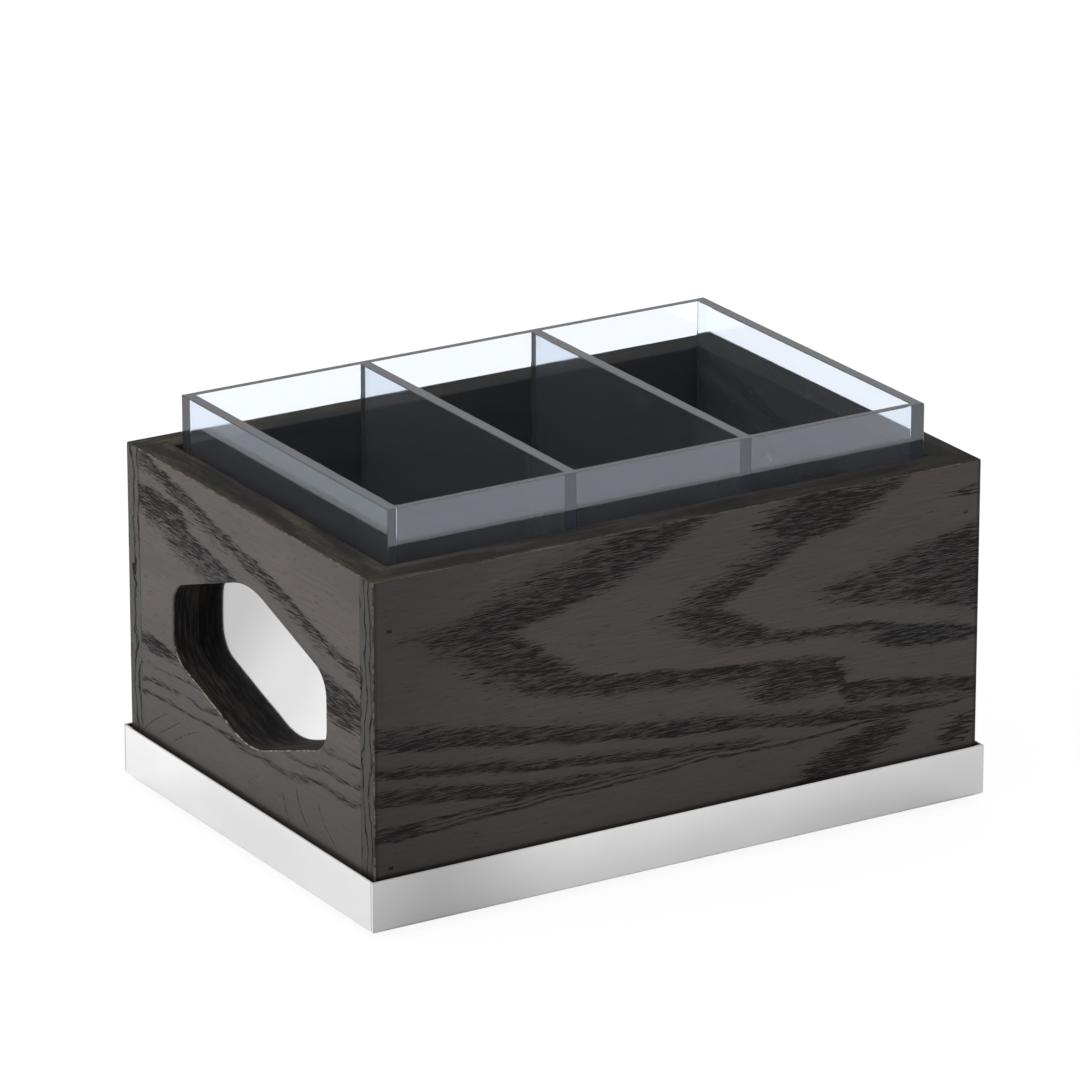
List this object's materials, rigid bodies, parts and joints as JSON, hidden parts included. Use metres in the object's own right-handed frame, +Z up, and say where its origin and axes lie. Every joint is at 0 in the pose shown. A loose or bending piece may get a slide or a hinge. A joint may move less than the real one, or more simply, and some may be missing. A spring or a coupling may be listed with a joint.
{
  "type": "flatware caddy",
  "caption": "Oak-veneered flatware caddy with hexagonal hand holes, a folded polished steel base pan, and a clear divided bin that lifts straight out of the box",
  "frame": {"origin": "on the table under the middle of the caddy", "axes": "+X along the length to the right end, -Y to the front panel, +Z up"},
  "size_m": [0.2584, 0.1824, 0.1515],
  "materials": {
    "stained_oak": "oak veneer stained charcoal brown, satin lacquer, open grain running along each panel",
    "polished_steel": "mirror-polished stainless sheet",
    "fastener_steel": "plain steel screws and brads",
    "foot_rubber": "matt black rubber",
    "clear_acrylic": "clear cast acrylic sheet with polished edges, faint smoky blue in the thickness",
    "clear_bumper": "soft clear bumper"
  },
  "bodies": {
    "box": {"front_panel": "stained_oak", "back_panel": "stained_oak", "left_end_panel": "stained_oak", "right_end_panel": "stained_oak", "bottom_board": "stained_oak", "base_pan": "polished_steel", "left_grip_plate": "polished_steel", "right_grip_plate": "polished_steel", "left_grip_screws": "fastener_steel", "right_grip_screws": "fastener_steel", "pan_screws": "fastener_steel", "corner_brads": "fastener_steel", "foot_front_left": "foot_rubber", "foot_front_right": "foot_rubber", "foot_back_left": "foot_rubber", "foot_back_right": "foot_rubber"},
    "bin": {"bin_floor": "clear_acrylic", "bin_front_wall": "clear_acrylic", "bin_back_wall": "clear_acrylic", "bin_left_wall": "clear_acrylic", "bin_right_wall": "clear_acrylic", "bin_left_divider": "clear_acrylic", "bin_right_divider": "clear_acrylic", "bin_pads": "clear_bumper"}
  },
  "joints": [
    {"name": "bin_lift", "type": "slide", "parent": "box", "child": "bin", "axis": [0, 0, 1], "range_m": [0, 0.125]}
  ]
}
